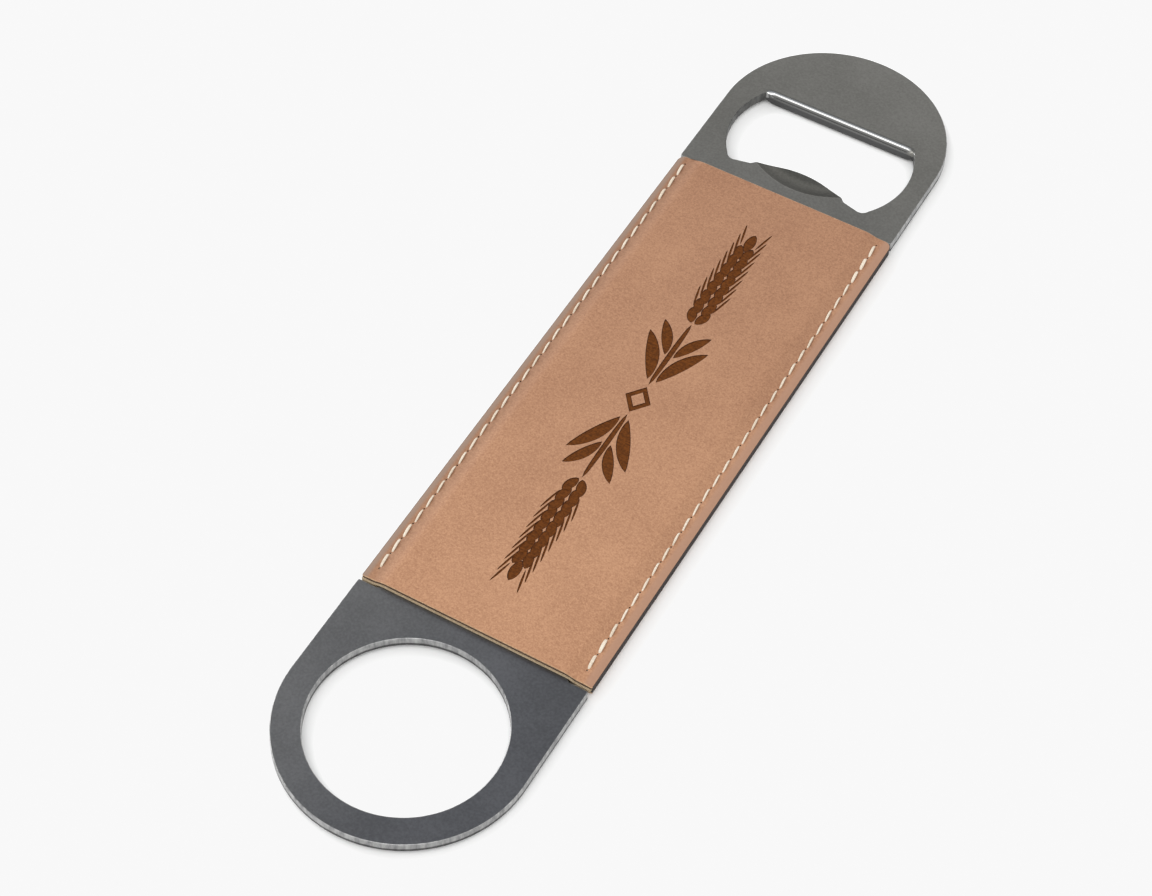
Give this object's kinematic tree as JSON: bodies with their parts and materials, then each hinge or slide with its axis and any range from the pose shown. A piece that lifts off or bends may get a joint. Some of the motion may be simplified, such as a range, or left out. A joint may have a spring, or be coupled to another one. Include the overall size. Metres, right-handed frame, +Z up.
{
  "type": "flat bar blade bottle opener",
  "caption": "Flat steel bar blade bottle opener with a finger hole, a cap mouth with a rolled lip, and a stitched leatherette sleeve as its grip.",
  "frame": {"origin": "centre of the blade's outline, on the surface that the sleeve's back lies on", "axes": "+Y along the blade towards the opening mouth, +Z up out of the sleeve's front face, +X across the blade"},
  "size_m": [0.0403, 0.178, 0.0038],
  "materials": {
    "steel": "satin stainless steel with a fine tumbled grain, polished lip",
    "leatherette": "tan fine-grained leatherette, satin",
    "core": "dark brown-black foam core, matte",
    "backing": "light woven backing, matte",
    "thread": "off-white twisted sewing thread"
  },
  "bodies": {
    "root": {"steel_blade": "steel", "front_coat": "leatherette", "front_core": "core", "front_backing": "backing", "back_coat": "leatherette", "back_core": "core", "back_backing": "backing", "left_needle_thread": "thread", "left_bobbin_thread": "thread", "right_needle_thread": "thread", "right_bobbin_thread": "thread"}
  },
  "joints": []
}
